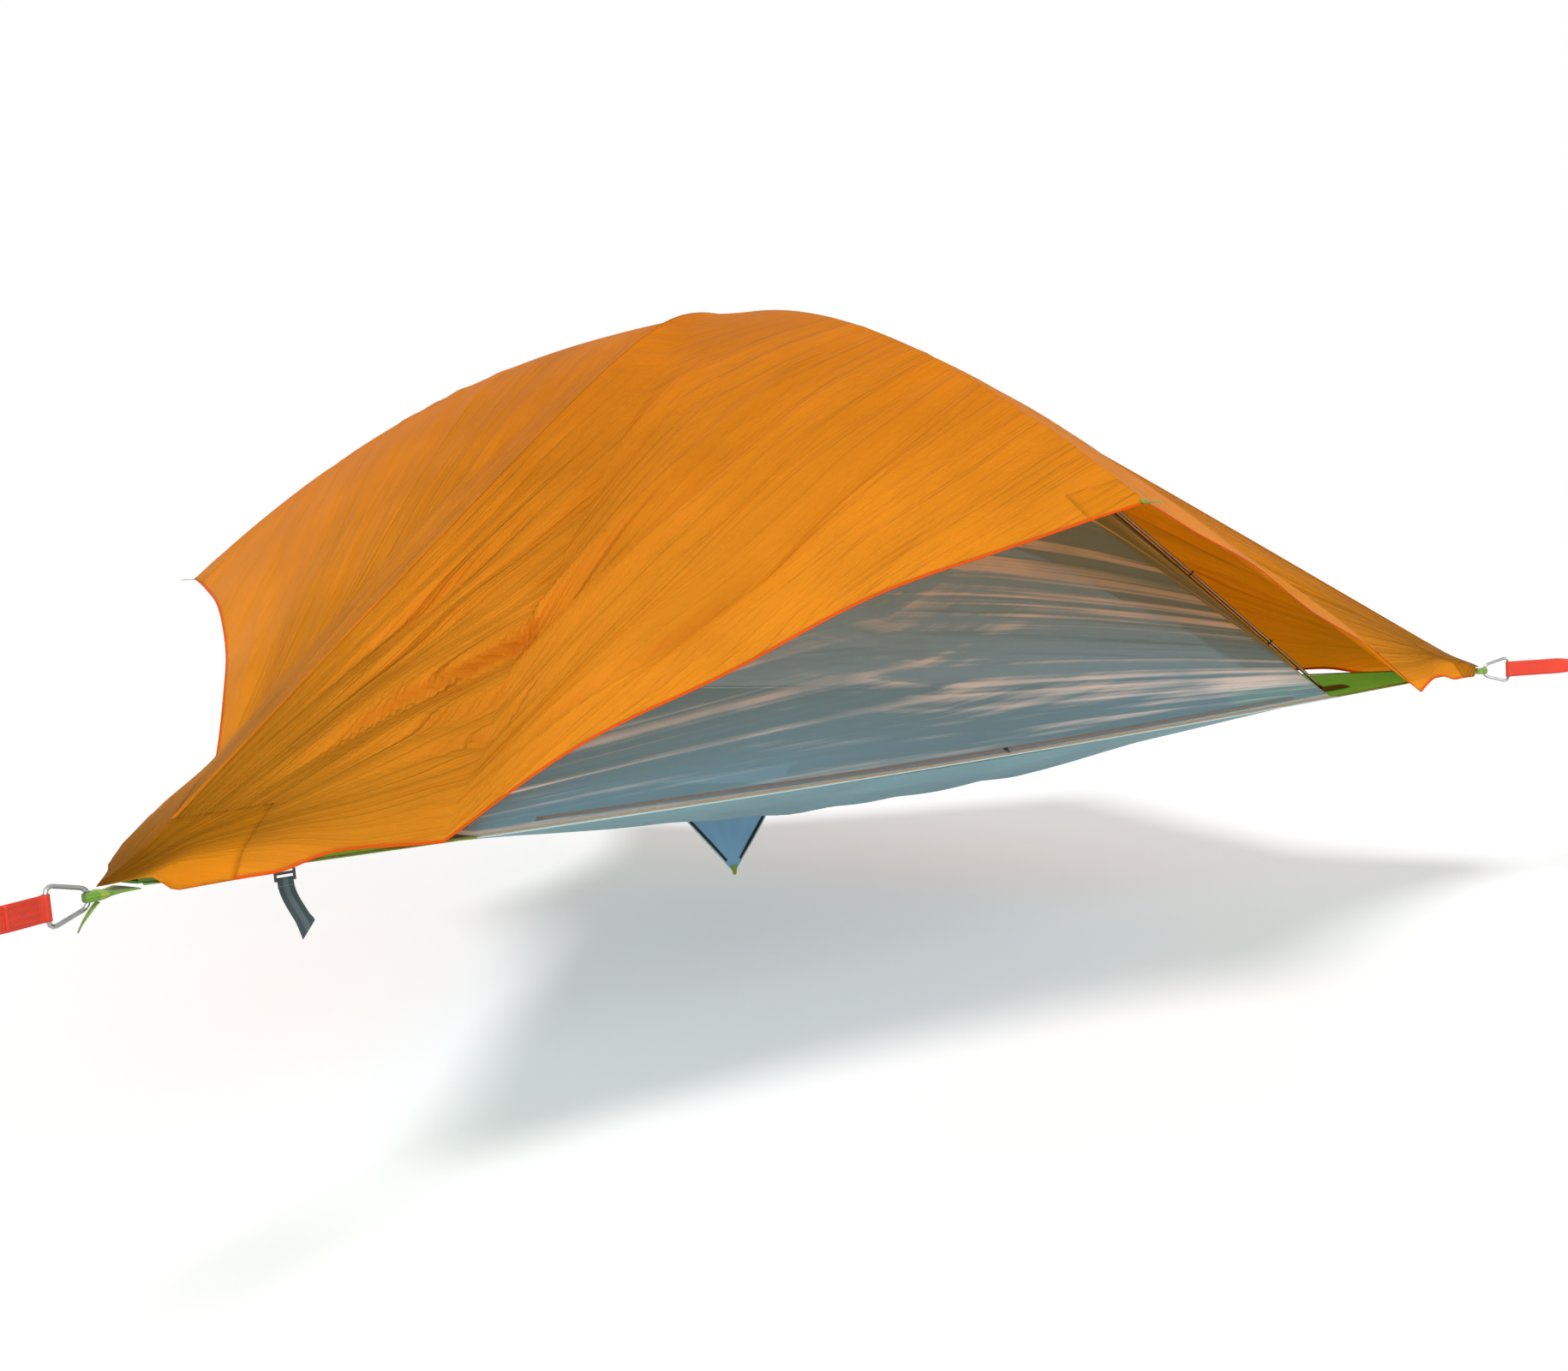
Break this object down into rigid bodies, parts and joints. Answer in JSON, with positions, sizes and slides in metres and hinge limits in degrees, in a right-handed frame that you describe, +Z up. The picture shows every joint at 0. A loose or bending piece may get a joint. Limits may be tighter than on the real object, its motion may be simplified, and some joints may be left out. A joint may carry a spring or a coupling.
{
  "type": "tree tent",
  "caption": "Tree tent with an amber three-panel fly, mesh inner tent, hammock floor with a bottom hatch, corner rings, and tree straps with ratchets.",
  "frame": {"origin": "middle of the triangle of the three anchor rings, in the plane of the anchors", "axes": "+Z is up, +X runs along the front edge of the floor towards the right anchor, and the front edge with the raised fly faces -Y"},
  "size_m": [5.113, 4.734, 1.7835],
  "materials": {
    "fly_fabric": "satin",
    "netting": "matte",
    "floor_fabric": "satin",
    "lime_fabric": "satin",
    "lime_webbing": "matte",
    "dark_webbing": "matte",
    "flap_fabric": "satin",
    "red_webbing": "matte",
    "steel": "polished",
    "zinc_plate": "satin",
    "aluminium": "satin",
    "black_plastic": "matte"
  },
  "bodies": {
    "tent": {"floor_panel": "floor_fabric", "corner_panel_1": "lime_fabric", "corner_panel_2": "lime_fabric", "corner_panel_3": "lime_fabric", "pole_patch_1": "dark_webbing", "pole_patch_2": "dark_webbing", "pole_patch_3": "dark_webbing", "edge_webbing_1": "lime_webbing", "edge_webbing_2": "lime_webbing", "edge_webbing_3": "lime_webbing", "pole_arm_1": "aluminium", "pole_arm_2": "aluminium", "pole_arm_3": "aluminium", "pole_hub": "black_plastic", "mesh_wall_1": "netting", "mesh_wall_2": "netting", "mesh_wall_3": "netting", "fly_panel_1": "fly_fabric", "fly_panel_2": "fly_fabric", "fly_panel_3": "fly_fabric", "fly_tab_1": "lime_webbing", "fly_tab_2": "lime_webbing", "fly_tab_3": "lime_webbing", "fly_corner_strap_1": "dark_webbing", "fly_corner_strap_2": "dark_webbing", "fly_corner_strap_3": "dark_webbing", "tail_buckle": "black_plastic", "loose_tail": "dark_webbing"},
    "flap": {"hatch_flap": "flap_fabric", "hatch_tab": "lime_webbing"},
    "slider_left": {"hatch_slider_left": "black_plastic"},
    "slider_right": {"hatch_slider_right": "black_plastic"},
    "hanger_1": {"corner_loop_1": "lime_webbing", "ring_1": "steel", "tree_strap_1": "red_webbing", "ratchet_frame_1": "zinc_plate"},
    "hanger_2": {"corner_loop_2": "lime_webbing", "ring_2": "steel", "tree_strap_2": "red_webbing", "ratchet_frame_2": "zinc_plate"},
    "hanger_3": {"corner_loop_3": "lime_webbing", "ring_3": "steel", "tree_strap_3": "red_webbing", "ratchet_frame_3": "zinc_plate"},
    "spool_1": {"ratchet_spool_1": "steel"},
    "spool_2": {"ratchet_spool_2": "steel"},
    "spool_3": {"ratchet_spool_3": "steel"},
    "handle_1": {"ratchet_handle_1": "zinc_plate"},
    "handle_2": {"ratchet_handle_2": "zinc_plate"},
    "handle_3": {"ratchet_handle_3": "zinc_plate"},
    "handle_pawl_1": {"handle_pawl_1": "steel"},
    "handle_pawl_2": {"handle_pawl_2": "steel"},
    "handle_pawl_3": {"handle_pawl_3": "steel"},
    "lock_pawl_1": {"lock_pawl_1": "steel"},
    "lock_pawl_2": {"lock_pawl_2": "steel"},
    "lock_pawl_3": {"lock_pawl_3": "steel"}
  },
  "joints": [
    {"name": "hatch_hinge", "type": "hinge", "parent": "tent", "child": "flap", "pos_m": [-0.07, 0.12, -0.18087], "axis": [-1, 0, 0], "range_deg": [0, 90]},
    {"name": "hatch_zip_left", "type": "slide", "parent": "tent", "child": "slider_left", "axis": [0.6219, -0.7831, 0], "range_m": [0, 0.36]},
    {"name": "hatch_zip_right", "type": "slide", "parent": "tent", "child": "slider_right", "axis": [-0.6219, -0.7831, 0], "range_m": [0, 0.36]},
    {"name": "hanger_tilt_1", "type": "hinge", "parent": "tent", "child": "hanger_1", "pos_m": [-1.93816, -1.119, -0.01], "axis": [0.5, -0.866, 0], "range_deg": [-20, 20]},
    {"name": "hanger_tilt_2", "type": "hinge", "parent": "tent", "child": "hanger_2", "pos_m": [1.93816, -1.119, -0.01], "axis": [0.5, 0.866, 0], "range_deg": [-20, 20]},
    {"name": "hanger_tilt_3", "type": "hinge", "parent": "tent", "child": "hanger_3", "pos_m": [0, 2.238, -0.01], "axis": [-1, 0, 0], "range_deg": [-20, 20]},
    {"name": "spool_turn_1", "type": "hinge", "parent": "hanger_1", "child": "spool_1", "pos_m": [-2.5184, -1.454, -0.01], "axis": [0.5, -0.866, 0], "continuous": true},
    {"name": "spool_turn_2", "type": "hinge", "parent": "hanger_2", "child": "spool_2", "pos_m": [2.5184, -1.454, -0.01], "axis": [0.5, 0.866, 0], "continuous": true},
    {"name": "spool_turn_3", "type": "hinge", "parent": "hanger_3", "child": "spool_3", "pos_m": [0, 2.908, -0.01], "axis": [-1, 0, 0], "continuous": true},
    {"name": "handle_swing_1", "type": "hinge", "parent": "hanger_1", "child": "handle_1", "pos_m": [-2.5184, -1.454, -0.01], "axis": [0.5, -0.866, 0], "range_deg": [0, 180]},
    {"name": "handle_swing_2", "type": "hinge", "parent": "hanger_2", "child": "handle_2", "pos_m": [2.5184, -1.454, -0.01], "axis": [0.5, 0.866, 0], "range_deg": [0, 180]},
    {"name": "handle_swing_3", "type": "hinge", "parent": "hanger_3", "child": "handle_3", "pos_m": [0, 2.908, -0.01], "axis": [-1, 0, 0], "range_deg": [0, 180]},
    {"name": "handle_pawl_lift_1", "type": "slide", "parent": "handle_1", "child": "handle_pawl_1", "axis": [0.75, 0.433, 0.5], "range_m": [0, 0.007], "stiffness_N_per_m": 400, "springref_m": -0.004},
    {"name": "handle_pawl_lift_2", "type": "slide", "parent": "handle_2", "child": "handle_pawl_2", "axis": [-0.75, 0.433, 0.5], "range_m": [0, 0.007], "stiffness_N_per_m": 400, "springref_m": -0.004},
    {"name": "handle_pawl_lift_3", "type": "slide", "parent": "handle_3", "child": "handle_pawl_3", "axis": [0, -0.866, 0.5], "range_m": [0, 0.007], "stiffness_N_per_m": 400, "springref_m": -0.004},
    {"name": "lock_pawl_lift_1", "type": "slide", "parent": "hanger_1", "child": "lock_pawl_1", "axis": [0.866, 0.5, 0], "range_m": [0, 0.006], "stiffness_N_per_m": 400, "springref_m": -0.004},
    {"name": "lock_pawl_lift_2", "type": "slide", "parent": "hanger_2", "child": "lock_pawl_2", "axis": [-0.866, 0.5, 0], "range_m": [0, 0.006], "stiffness_N_per_m": 400, "springref_m": -0.004},
    {"name": "lock_pawl_lift_3", "type": "slide", "parent": "hanger_3", "child": "lock_pawl_3", "axis": [0, -1, 0], "range_m": [0, 0.006], "stiffness_N_per_m": 400, "springref_m": -0.004}
  ],
  "couplings": [
    {"joint": "hatch_zip_left", "follows": "hatch_hinge", "m_per_rad": 0.229},
    {"joint": "hatch_zip_right", "follows": "hatch_hinge", "m_per_rad": 0.229}
  ]
}
